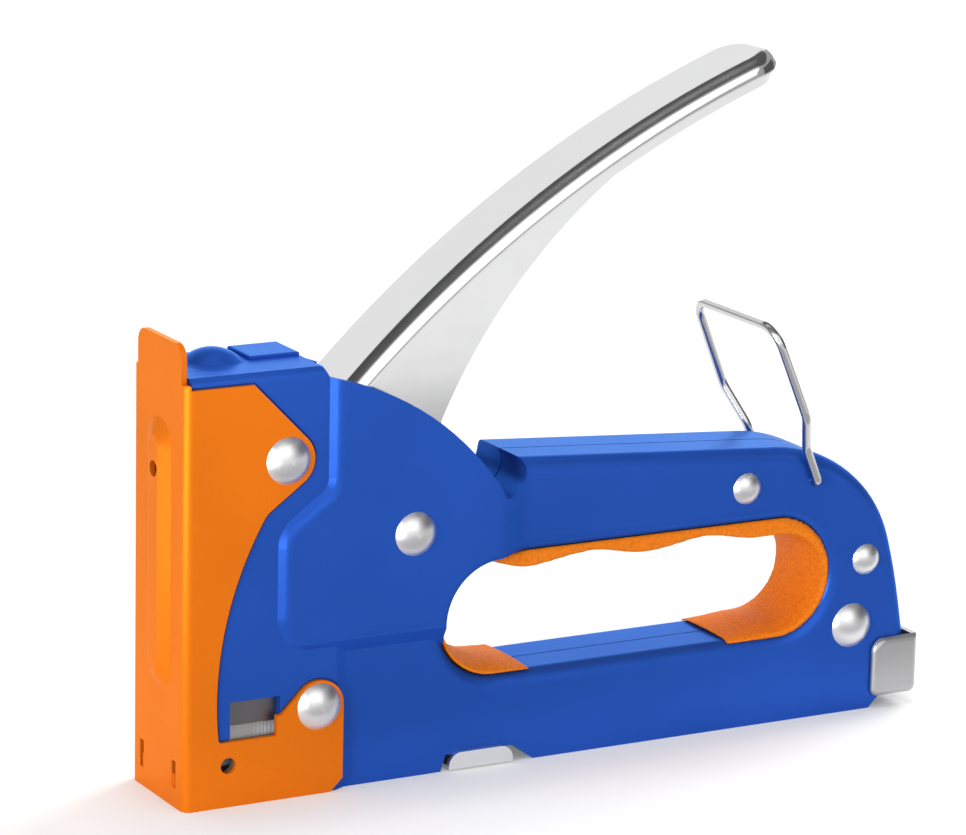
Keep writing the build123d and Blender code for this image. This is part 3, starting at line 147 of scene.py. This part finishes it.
# Near-white and hardly metallic, lighter than galvanised wire: painted light that makes up for the shade in
# the magazine window.
STAPLE_DARK = (0.86, 0.86, 0.86)
STAPLE_LIGHT = (1.0, 1.0, 0.99)
STAPLE_ROUGHNESS = 0.42
STAPLE_SWING = 0.12
STAPLE_METAL = 0.05

# Sockets of a Mix node set to colours
MIX_FACTOR = 0
MIX_FIRST = 6
MIX_SECOND = 7
MIX_RESULT = 2

# Camera
IMAGE_WIDTH = 966  # pixels
CLIP_START = 0.01
CLIP_END = 100.0

# Studio, in metres
AIM = Vector((0.0, 0.0, 0.05))
FLOOR_SIDE = 12.0
CARD_LIFT = 0.6 * MM  # of the cards that lie on the floor

# Lights: name, place, width and height, whether they show in reflections
LIGHTS = (
    ("key", Vector((-1.25, -0.68, 0.34)), (0.28, 0.62), True),
    ("fill", Vector((-0.1, -1.5, 0.85)), (1.7, 1.4), True),
    ("top", Vector((-0.1, 0.0, 1.6)), (0.8, 0.8), True),
    ("back", Vector((0.1, 1.2, 0.75)), (1.8, 0.7), True),
    ("rim", Vector((0.76, 1.35, 0.36)), (2.0, 0.4), True),
    ("side", Vector((1.3, 0.55, 0.95)), (0.8, 0.6), False),
)

# Cards that show in reflections only: name, place, direction they face, width and height, paper
CARD_RIGHT = Vector((1.1, -0.35, 0.45))
CARDS = (
    ("card_over", Vector((-0.1, 0.24, 1.0)), -Z_AXIS, (2.0, 1.56), "dark_card"),
    ("card_right", CARD_RIGHT, AIM - CARD_RIGHT, (1.1, 0.7), "dark_card"),
    ("card_low", Vector((0.1, -0.14, CARD_LIFT)), Z_AXIS, (0.6, 0.22), "grey_card"),
    ("card_left", Vector((-0.4, -0.14, CARD_LIFT)), Z_AXIS, (0.38, 0.44), "bright_card"),
)


# Settings

class FinishSettings(bpy.types.PropertyGroup):
    """Colours and gloss of the finishes."""

    shell_blue: FloatVectorProperty(
        name="Shell enamel", description="Colour of the body shells",
        default=(0.022, 0.090, 0.46), size=3, min=0.0, max=1.0, subtype="COLOR",
    )
    nose_orange: FloatVectorProperty(
        name="Nose enamel", description="Colour of the nose plate",
        default=(0.76, 0.172, 0.009), size=3, min=0.0, max=1.0, subtype="COLOR",
    )
    grip_orange: FloatVectorProperty(
        name="Grip rubber", description="Colour of the soft grips",
        default=(0.78, 0.190, 0.006), size=3, min=0.0, max=1.0, subtype="COLOR",
    )
    enamel_roughness: FloatProperty(
        name="Enamel roughness", description="Roughness of the two enamels",
        default=0.32, min=0.0, max=1.0, subtype="FACTOR",
    )
    shell_metal: FloatProperty(
        name="Shell metal", description="Share of metal flake in the shells' lacquer",
        default=0.5, min=0.0, max=1.0, subtype="FACTOR",
    )
    nose_metal: FloatProperty(
        name="Nose metal", description="Share of metal flake in the nose plate's lacquer",
        default=0.3, min=0.0, max=1.0, subtype="FACTOR",
    )
    chrome_roughness: FloatProperty(
        name="Chrome roughness", description="Roughness of the plated lever",
        default=0.13, min=0.0, max=1.0, subtype="FACTOR",
    )


class GripSettings(bpy.types.PropertyGroup):
    """Form of the soft grips."""

    grid: FloatProperty(
        name="Mesh grid", description="Grid of the grips' meshes",
        default=0.0005, min=0.0001, unit="LENGTH",
    )
    crown: FloatProperty(
        name="Crown", description="How much fuller the grips are in the middle",
        default=0.05, min=0.0, subtype="FACTOR",
    )
    edge: FloatProperty(
        name="Edge", description="Share of the thickness left at the lower edges",
        default=0.3, min=0.0, max=1.0, subtype="FACTOR",
    )


class CameraSettings(bpy.types.PropertyGroup):
    """The camera of the product view."""

    place: FloatVectorProperty(
        name="Place", description="Camera position",
        default=(-0.37506, -0.65718, 0.24427), size=3, subtype="XYZ", unit="LENGTH",
    )
    azimuth: FloatProperty(
        name="Azimuth", description="Direction of the camera round the tool",
        default=math.radians(-28.93), subtype="ANGLE",
    )
    elevation: FloatProperty(
        name="Elevation", description="Height of the camera above the horizon",
        default=math.radians(13.79), subtype="ANGLE",
    )
    roll: FloatProperty(
        name="Roll", description="Turn about the view axis",
        default=math.radians(1.29), subtype="ANGLE",
    )
    focal_px: FloatProperty(
        name="Focal length", description="Focal length in pixels of the finished image",
        default=4477.0, min=1.0,
    )


class StageSettings(bpy.types.PropertyGroup):
    """Floor and studio light."""

    floor_tone: FloatProperty(
        name="Floor tone", description="Brightness of the floor",
        default=0.64, min=0.0, max=1.0, subtype="FACTOR",
    )
    floor_glow: FloatProperty(
        name="Floor glow", description="Light of the floor's own, as on a light table",
        default=0.18, min=0.0,
    )
    key_power: FloatProperty(
        name="Key light", description="Power of the main light", default=10.5, unit="POWER",
    )
    fill_power: FloatProperty(
        name="Fill light", description="Power of the fill light", default=8.4, unit="POWER",
    )
    top_power: FloatProperty(
        name="Top light", description="Power of the overhead light", default=11.0, unit="POWER",
    )
    back_power: FloatProperty(
        name="Back light", description="Power of the light behind", default=2.3, unit="POWER",
    )
    rim_power: FloatProperty(
        name="Rim light", description="Power of the low light behind", default=4.5, unit="POWER",
    )
    side_power: FloatProperty(
        name="Side light", description="Power of the rear side light", default=22.0, unit="POWER",
    )
    card_tone: FloatProperty(
        name="Dark cards", description="Brightness of the cards that darken reflections",
        default=0.08, min=0.0, max=1.0, subtype="FACTOR",
    )
    low_tone: FloatProperty(
        name="Low card", description="Brightness of the card in front that greys reflections from below",
        default=0.36, min=0.0, max=1.0, subtype="FACTOR",
    )
    glint: FloatProperty(
        name="Bright card", description="Light of the card that draws highlights on the slopes",
        default=6.5, min=0.0,
    )
    sky: FloatProperty(
        name="Surroundings", description="Strength of the white surroundings", default=0.44, min=0.0,
    )


# Shader maths

class Field:
    """An output socket of a material; arithmetic on it adds Math nodes."""

    def __init__(self, tree, socket):
        self.tree = tree
        self.socket = socket

    def math(self, operation, first, second):
        """A Math node on two values or fields."""
        node = self.tree.nodes.new("ShaderNodeMath")
        node.operation = operation
        feed(self.tree, node.inputs[0], first)
        feed(self.tree, node.inputs[1], second)
        return Field(self.tree, node.outputs[0])

    def __add__(self, other):
        return self.math("ADD", self, other)

    def __radd__(self, other):
        return self.math("ADD", other, self)

    def __sub__(self, other):
        return self.math("SUBTRACT", self, other)

    def __rsub__(self, other):
        return self.math("SUBTRACT", other, self)

    def __mul__(self, other):
        return self.math("MULTIPLY", self, other)

    def __rmul__(self, other):
        return self.math("MULTIPLY", other, self)


def feed(tree, socket, value):
    """Set a socket to a value, or link a field to it."""
    if isinstance(value, Field):
        tree.links.new(value.socket, socket)
    else:
        socket.default_value = value


class Finish:
    """A material under construction."""

    def __init__(self, name):
        self.material = bpy.data.materials.new(name)
        self.material.use_nodes = True
        self.tree = self.material.node_tree
        self.surface = self.tree.nodes["Principled BSDF"]
        self.place = self.node("ShaderNodeTexCoord", output="Object")

    def node(self, kind, settings=None, inputs=None, output=0):
        """Add a node: its settings first, then the values or links of its sockets; gives one output."""
        node = self.tree.nodes.new(kind)
        for key, value in (settings or {}).items():
            setattr(node, key, value)
        for key, value in (inputs or {}).items():
            feed(self.tree, node.inputs[key], value)
        return Field(self.tree, node.outputs[output])

    def set(self, **values):
        """Feed the surface's sockets, named in small letters with underscores for spaces."""
        sockets = {socket.name.lower().replace(" ", "_"): socket for socket in self.surface.inputs}
        for key, value in values.items():
            feed(self.tree, sockets[key], value)

    def noise(self, size, detail=SIMPLE, stretch=EVEN):
        """Noise whose features are about this size in metres, finer where stretch is larger."""
        place = self.node("ShaderNodeVectorMath", {"operation": "MULTIPLY"}, {0: self.place, 1: stretch})
        return self.node("ShaderNodeTexNoise", None, {"Vector": place, "Scale": 1.0 / size, "Detail": detail})

    def cells(self, size):
        """Distance to the nearest of scattered cell centres about this far apart."""
        return self.node("ShaderNodeTexVoronoi", None, {"Vector": self.place, "Scale": 1.0 / size})

    def wires(self, pitch):
        """Smooth waves along X, this far apart."""
        settings = {"wave_type": "BANDS", "bands_direction": "X", "wave_profile": "SIN"}
        scale = 2.0 * math.pi / WAVE_PHASE / pitch
        return self.node("ShaderNodeTexWave", settings, {"Vector": self.place, "Scale": scale})

    def blend(self, factor, first, second):
        """Mix two colours."""
        inputs = {MIX_FACTOR: factor, MIX_FIRST: opaque(first), MIX_SECOND: opaque(second)}
        return self.node("ShaderNodeMix", {"data_type": "RGBA"}, inputs, output=MIX_RESULT)

    def ramp(self, field, low, high):
        """Stretch the part of a field between two values over 0 to 1."""
        return self.node("ShaderNodeMapRange", None, {"Value": field, "From Min": low, "From Max": high})

    def bump(self, height, depth):
        """Surface relief of this depth in metres."""
        inputs = {"Height": height, "Strength": 1.0, "Distance": depth}
        self.set(normal=self.node("ShaderNodeBump", None, inputs))


def opaque(colour):
    """A colour with full alpha."""
    return (*colour, 1.0)


def shade(colour, factor):
    """A colour made darker or lighter."""
    return tuple(min(1.0, part * factor) for part in colour)


# Finishes

def enamel(name, colour, metal, glint):
    """Stoved metallic lacquer with a fine orange-peel skin."""
    finish = Finish(name)
    cloud = finish.ramp(finish.noise(LACQUER_CLOUD, RICH), LACQUER_CLOUD_LOW, LACQUER_CLOUD_HIGH)
    roughness = bpy.context.scene.tacker_finish.enamel_roughness
    finish.set(
        base_color=finish.blend(cloud, shade(colour, LACQUER_DARK), shade(colour, LACQUER_LIGHT)),
        roughness=roughness + LACQUER_SWING * (cloud - NOISE_MEAN),
        metallic=metal,
        specular_ior_level=LACQUER_SPECULAR,
        specular_tint=opaque(glint),
    )
    finish.bump(finish.noise(LACQUER_PEEL), LACQUER_PEEL_DEPTH)
    return finish.material


def plated(name, tone, roughness, streak=EVEN, grain=STEEL_GRAIN, depth=STEEL_GRAIN_DEPTH):
    """Plated or polished steel with a faint grain."""
    finish = Finish(name)
    grey = (tone, tone, tone * STEEL_COOL)
    marks = finish.noise(grain, RICH, streak)
    finish.set(
        base_color=finish.blend(finish.noise(STEEL_CLOUD), shade(grey, STEEL_DARK), grey),
        roughness=roughness + STEEL_SWING * (marks - NOISE_MEAN),
        metallic=1.0,
    )
    finish.bump(marks, depth)
    return finish.material


def grip_rubber():
    """Soft orange rubber with a leather-like grain, painted lighter on the cell tops and with painted shade
    in the grooves.
    """
    finish = Finish("grip_rubber")
    colour = bpy.context.scene.tacker_finish.grip_orange
    grain = finish.cells(GRIP_CELL)
    # Painted shade: the colour darkens towards the cell borders, where the bump sinks into grooves, and is
    # painted lighter on the cell tops.
    groove_shade = finish.ramp(grain, 0.0, GRIP_CELL_EDGE)
    finish.set(
        base_color=finish.blend(groove_shade, shade(colour, GRIP_TOP_PAINTED_LIGHT), shade(colour, GRIP_GROOVE_PAINTED_SHADE)),
        roughness=GRIP_ROUGHNESS + RUBBER_SWING * finish.noise(GRIP_CLOUD, RICH),
        specular_ior_level=GRIP_SPECULAR,
    )
    finish.bump(1.0 - grain, GRIP_CELL_DEPTH)
    return finish.material


def stop_rubber():
    """Black rubber."""
    finish = Finish("stop_rubber")
    cloud = finish.noise(STOP_CLOUD, RICH)
    finish.set(
        base_color=finish.blend(cloud, STOP_DARK, STOP_LIGHT),
        roughness=STOP_ROUGHNESS + RUBBER_SWING * cloud,
    )
    finish.bump(cloud, STOP_DEPTH)
    return finish.material


def staple_stick():
    """Glued staples: fine galvanised wires side by side along the stick, coloured near-white as painted light
    against the shade of the magazine window, with painted shade between the wires.
    """
    finish = Finish("staple_stick")
    wires = finish.wires(WIRE_PITCH)
    # Colour: random speckle, plus painted shade between the wires that follows their relief, lighter on their
    # crests.
    marks = (1.0 - WIRE_SHADE_SHARE) * finish.noise(STAPLE_SPECKLE) + WIRE_SHADE_SHARE * wires
    finish.set(
        base_color=finish.blend(marks, STAPLE_DARK, STAPLE_LIGHT),
        roughness=STAPLE_ROUGHNESS - STAPLE_SWING * wires,
        metallic=STAPLE_METAL,
    )
    finish.bump(wires, WIRE_DEPTH)
    return finish.material


def matt(name, tone, glow=0.0):
    """Plain matt grey paper, with or without a light of its own."""
    finish = Finish(name)
    finish.set(
        base_color=opaque((tone, tone, tone)),
        roughness=1.0,
        specular_ior_level=0.0,
        emission_color=opaque(WHITE),
        emission_strength=glow,
    )
    return finish.material


# Pieces

def dress(names, material):
    """Give CAD nodes a finish."""
    for name in names:
        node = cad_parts[name]
        node.data.materials.clear()
        node.data.materials.append(material)


def add_object(name, data):
    """A new object in the scene."""
    thing = bpy.data.objects.new(name, data)
    bpy.context.scene.collection.objects.link(thing)
    return thing


class TACKER_OT_shells(bpy.types.Operator):
    """Enamel the two body shells"""

    bl_idname = "tacker.shells"
    bl_label = "Body shells"

    def execute(self, context):
        settings = context.scene.tacker_finish
        dress(SHELLS, enamel("shell_enamel", settings.shell_blue, settings.shell_metal, SHELL_GLINT))
        return {"FINISHED"}


class TACKER_OT_nose_plate(bpy.types.Operator):
    """Enamel the nose plate"""

    bl_idname = "tacker.nose_plate"
    bl_label = "Nose plate"

    def execute(self, context):
        settings = context.scene.tacker_finish
        lacquer = enamel("nose_enamel", settings.nose_orange, settings.nose_metal, NOSE_GLINT)
        dress(("nose_plate",), lacquer)
        return {"FINISHED"}


class TACKER_OT_lever(bpy.types.Operator):
    """Plate the lever and the lock bail"""

    bl_idname = "tacker.lever"
    bl_label = "Lever and bail"

    def execute(self, context):
        roughness = context.scene.tacker_finish.chrome_roughness
        chrome = plated(
            "lever_chrome", tone=0.74, roughness=roughness, grain=LEVER_GRAIN, depth=LEVER_GRAIN_DEPTH
        )
        dress(("lever",), chrome)
        dress(("lock_bail",), plated("bail_chrome", tone=0.62, roughness=roughness + BAIL_WEAR))
        return {"FINISHED"}


class TACKER_OT_rivets(bpy.types.Operator):
    """Polish the rivets"""

    bl_idname = "tacker.rivets"
    bl_label = "Rivets"

    def execute(self, context):
        dress(RIVETS, plated("rivet_polish", tone=0.8, roughness=0.36))
        return {"FINISHED"}


class TACKER_OT_plain_steel(bpy.types.Operator):
    """Finish the zinc-plated and bare steel pieces"""

    bl_idname = "tacker.plain_steel"
    bl_label = "Plain steel"

    def execute(self, context):
        dress(ZINC_PIECES, plated("zinc_sheet", tone=0.62, roughness=0.36, streak=ROLLED))
        dress(("end_cap",), plated("satin_sheet", tone=0.5, roughness=0.4, streak=CAP_ROLLED))
        dress(("bottom_clip",), plated("clip_sheet", tone=0.88, roughness=0.34, streak=CLIP_ROLLED))
        dress(("magazine_cover",), plated("dark_sheet", tone=0.2, roughness=0.42, streak=ROLLED))
        return {"FINISHED"}


class TACKER_OT_bump_stop(bpy.types.Operator):
    """Finish the rubber stop under the plunger"""

    bl_idname = "tacker.bump_stop"
    bl_label = "Bump stop"

    def execute(self, context):
        dress(("bump_stop",), stop_rubber())
        return {"FINISHED"}


class TACKER_OT_staples(bpy.types.Operator):
    """Finish the stick of staples"""

    bl_idname = "tacker.staples"
    bl_label = "Staples"

    def execute(self, context):
        dress(("staple_strip",), staple_stick())
        return {"FINISHED"}


class TACKER_OT_springs(bpy.types.Operator):
    """Finish the springs, and swap the two coils for copies of their own on their bodies"""

    bl_idname = "tacker.springs"
    bl_label = "Springs"

    def execute(self, context):
        wire = plated("spring_wire", tone=0.4, roughness=0.35)
        dress(("lever_spring",), wire)
        for node, name, body, joint, axis, travel in COILS:
            coil = add_object(name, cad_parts[node].data.copy())
            coil.data.materials.clear()
            coil.data.materials.append(wire)
            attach(coil, body)
            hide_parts(node)
            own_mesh(coil)
        return {"FINISHED"}


def smooth_step(value, low, high):
    """Smooth rise from 0 to 1 between two values."""
    share = min(1.0, max(0.0, (value - low) / (high - low)))
    return share * share * (3.0 - 2.0 * share)


def soft_copy(node, name, grid):
    """An evenly meshed, softened copy of a CAD node."""
    copy = add_object(name, node.data.copy())
    remesh = copy.modifiers.new("even_mesh", "REMESH")
    remesh.mode = "VOXEL"
    remesh.voxel_size = grid
    soften = copy.modifiers.new("soft_corners", "SMOOTH")
    soften.factor = SOFTENING
    soften.iterations = SOFTENING_PASSES
    graph = bpy.context.evaluated_depsgraph_get()
    copy.data = bpy.data.meshes.new_from_object(copy.evaluated_get(graph))
    copy.modifiers.clear()
    copy.data.materials.clear()
    copy.data.polygons.foreach_set("use_smooth", [True] * len(copy.data.polygons))
    return copy


def crown(piece, settings, roll):
    """Swell a grip towards its middle, thin its lower edges and tuck its back under the hole's rolled rim."""
    half = max(abs(vertex.co.y) for vertex in piece.data.vertices)
    for vertex in piece.data.vertices:
        point = vertex.co
        middle = min(max(point.x, HOLE_FRONT_X), HOLE_REAR_X)
        spoke = Vector((point.x - middle, 0.0, point.z - HOLE_MIDDLE_Z))
        reach = spoke.length
        thick = HOLE_SEAT - reach
        outside = max(0.0, abs(point.y) - RIM_START)
        recess = RIM_ROUND - math.sqrt(RIM_ROUND ** 2 - outside ** 2)
        recess *= roll * smooth_step(point.x, HOLE_FRONT_X, HOLE_FRONT_X + RIM_RAMP)
        recess *= 1.0 - smooth_step(thick, 0.0, RIM_ROUND / 2.0)
        upper = smooth_step(point.z, HOLE_MIDDLE_Z, HOLE_MIDDLE_Z + HOLE_SEAT)
        edge = settings.edge + (1.0 - settings.edge) * upper
        swell = 1.0 + settings.crown - (1.0 + settings.crown - edge) * (point.y / half) ** 2
        wanted = HOLE_SEAT + recess - thick * swell
        vertex.co = point + spoke * (wanted / reach - 1.0)


class TACKER_OT_grips(bpy.types.Operator):
    """Model the soft grips in the finger hole"""

    bl_idname = "tacker.grips"
    bl_label = "Soft grips"

    def execute(self, context):
        settings = context.scene.tacker_grips
        rubber = grip_rubber()
        for node, name, roll in (("grip_liner", "finger_grip", 1.0), ("front_grip_pad", "thumb_pad", 0.0)):
            piece = soft_copy(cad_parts[node], name, settings.grid)
            crown(piece, settings, roll)
            piece.data.materials.append(rubber)
            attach(piece, "frame")
            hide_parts(node)
        return {"FINISHED"}


# Camera and stage

class TACKER_OT_camera(bpy.types.Operator):
    """Place the camera of the product view"""

    bl_idname = "tacker.camera"
    bl_label = "Camera"

    def execute(self, context):
        settings = context.scene.tacker_camera
        azimuth = settings.azimuth
        elevation = settings.elevation
        roll = settings.roll
        back = Vector((
            math.sin(azimuth) * math.cos(elevation),
            -math.cos(azimuth) * math.cos(elevation),
            math.sin(elevation),
        ))
        right = Vector((math.cos(azimuth), math.sin(azimuth), 0.0))
        up = back.cross(right)
        x_axis = math.cos(roll) * right + math.sin(roll) * up
        y_axis = math.cos(roll) * up - math.sin(roll) * right
        lens = bpy.data.cameras.new("product_camera")
        lens.lens = settings.focal_px / IMAGE_WIDTH * lens.sensor_width
        lens.clip_start = CLIP_START
        lens.clip_end = CLIP_END
        camera = add_object("product_camera", lens)
        turn = Matrix((x_axis, y_axis, back)).transposed().to_4x4()
        camera.matrix_world = Matrix.Translation(settings.place) @ turn
        context.scene.camera = camera
        return {"FINISHED"}


def area_light(name, place, size, power, mirrored):
    """An oblong soft light aimed at the tool, seen in reflections or not."""
    data = bpy.data.lights.new(name, "AREA")
    data.shape = "RECTANGLE"
    data.size, data.size_y = size
    data.energy = power
    light = add_object(name, data)
    light.visible_camera = False
    light.visible_glossy = mirrored
    light.location = place
    light.rotation_euler = (AIM - place).to_track_quat("-Z", "Y").to_euler()


def sheet(name, place, facing, size, paper):
    """A flat sheet at a place, facing a direction."""
    x, y = Vector(size) / 2.0
    mesh = bpy.data.meshes.new(name)
    mesh.from_pydata([(-x, -y, 0.0), (x, -y, 0.0), (x, y, 0.0), (-x, y, 0.0)], [], [(0, 1, 2, 3)])
    mesh.materials.append(paper)
    flat = add_object(name, mesh)
    flat.matrix_world = Matrix.Translation(place) @ facing.to_track_quat("Z", "Y").to_matrix().to_4x4()
    return flat


class TACKER_OT_stage(bpy.types.Operator):
    """Set the pale floor and the studio light"""

    bl_idname = "tacker.stage"
    bl_label = "Stage"

    def execute(self, context):
        settings = context.scene.tacker_stage
        ground = matt("floor_paper", settings.floor_tone, settings.floor_glow)
        floor = sheet("floor", Vector(), Z_AXIS, (FLOOR_SIDE, FLOOR_SIDE), ground)
        for name, place, size, mirrored in LIGHTS:
            area_light(f"{name}_light", place, size, getattr(settings, f"{name}_power"), mirrored)
        papers = {
            "dark_card": matt("dark_card", settings.card_tone),
            "grey_card": matt("grey_card", settings.low_tone),
            "bright_card": matt("bright_card", 1.0, settings.glint),
        }
        for name, place, facing, size, kind in CARDS:
            card = sheet(name, place, facing, size, papers[kind])
            card.visible_camera = False
            card.visible_diffuse = False
            card.visible_shadow = False
        world = bpy.data.worlds.new("studio")
        context.scene.world = world
        world.use_nodes = True
        background = world.node_tree.nodes["Background"]
        background.inputs["Color"].default_value = opaque(WHITE)
        background.inputs["Strength"].default_value = settings.sky
        context.scene.view_settings.view_transform = "Standard"
        return {"FINISHED"}


# Add-on

OPERATORS = (
    TACKER_OT_camera,
    TACKER_OT_shells,
    TACKER_OT_nose_plate,
    TACKER_OT_lever,
    TACKER_OT_rivets,
    TACKER_OT_plain_steel,
    TACKER_OT_bump_stop,
    TACKER_OT_staples,
    TACKER_OT_springs,
    TACKER_OT_grips,
    TACKER_OT_stage,
)
SETTINGS = {
    "tacker_finish": FinishSettings,
    "tacker_grips": GripSettings,
    "tacker_camera": CameraSettings,
    "tacker_stage": StageSettings,
}


class TACKER_PT_panel(bpy.types.Panel):
    """Steps that dress the staple gun"""

    bl_label = "Staple gun"
    bl_idname = "TACKER_PT_panel"
    bl_space_type = "VIEW_3D"
    bl_region_type = "UI"
    bl_category = "Staple gun"

    def draw(self, context):
        for operator in OPERATORS:
            self.layout.operator(operator.bl_idname)
        for name, group in SETTINGS.items():
            box = self.layout.box()
            box.label(text=group.__doc__)
            for key in group.__annotations__:
                box.prop(getattr(context.scene, name), key)


def register():
    for group in SETTINGS.values():
        bpy.utils.register_class(group)
    for name, group in SETTINGS.items():
        setattr(bpy.types.Scene, name, PointerProperty(type=group))
    for operator in OPERATORS:
        bpy.utils.register_class(operator)
    bpy.utils.register_class(TACKER_PT_panel)


def unregister():
    bpy.utils.unregister_class(TACKER_PT_panel)
    for operator in reversed(OPERATORS):
        bpy.utils.unregister_class(operator)
    for name in SETTINGS:
        delattr(bpy.types.Scene, name)
    for group in reversed(SETTINGS.values()):
        bpy.utils.unregister_class(group)


def main():
    register()
    for operator in OPERATORS:
        group, name = operator.bl_idname.split(".")
        getattr(getattr(bpy.ops, group), name)()


if __name__ == "__main__":
    main()
